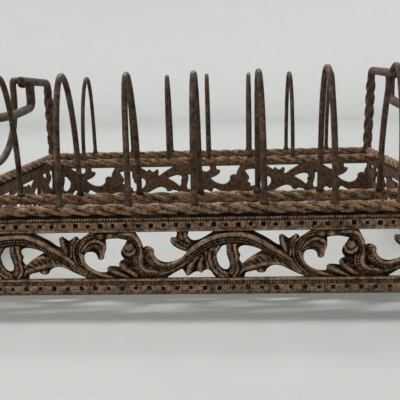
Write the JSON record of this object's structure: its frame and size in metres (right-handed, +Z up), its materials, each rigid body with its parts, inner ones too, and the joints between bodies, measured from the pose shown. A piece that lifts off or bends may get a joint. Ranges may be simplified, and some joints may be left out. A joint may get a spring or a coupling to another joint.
{
  "type": "toast rack",
  "caption": "Rustic iron toast rack: openwork scroll bands under twisted bars, rows of wire hoops and a grip handle at each end.",
  "frame": {"origin": "middle of the rack, on the table under the lower edges of the bands", "axes": "+X along the rack from the left handle to the right one, +Y from the front band to the rear one, +Z up"},
  "size_m": [0.2954, 0.2334, 0.1154],
  "materials": {
    "cast_band": "matte rust-brown patina with orange rust bloom",
    "twisted_bar": "matte rust-brown patina",
    "wire": "dark brown patina with a dull sheen"
  },
  "bodies": {
    "root": {"band_front": "cast_band", "band_rear": "cast_band", "band_left": "cast_band", "band_right": "cast_band", "bar_front_outer": "twisted_bar", "bar_front_inner": "twisted_bar", "bar_rear_outer": "twisted_bar", "bar_rear_inner": "twisted_bar", "bar_left": "twisted_bar", "bar_right": "twisted_bar", "post_front_left": "twisted_bar", "post_rear_left": "twisted_bar", "post_front_right": "twisted_bar", "post_rear_right": "twisted_bar", "hoop_front_1": "wire", "hoop_front_2": "wire", "hoop_front_3": "wire", "hoop_front_4": "wire", "hoop_front_5": "wire", "hoop_front_6": "wire", "hoop_front_7": "wire", "hoop_rear_1": "wire", "hoop_rear_2": "wire", "hoop_rear_3": "wire", "hoop_rear_4": "wire", "hoop_rear_5": "wire", "hoop_rear_6": "wire", "hoop_rear_7": "wire", "grip_left": "wire", "grip_right": "wire", "loop_left": "wire", "loop_right": "wire"}
  },
  "joints": []
}
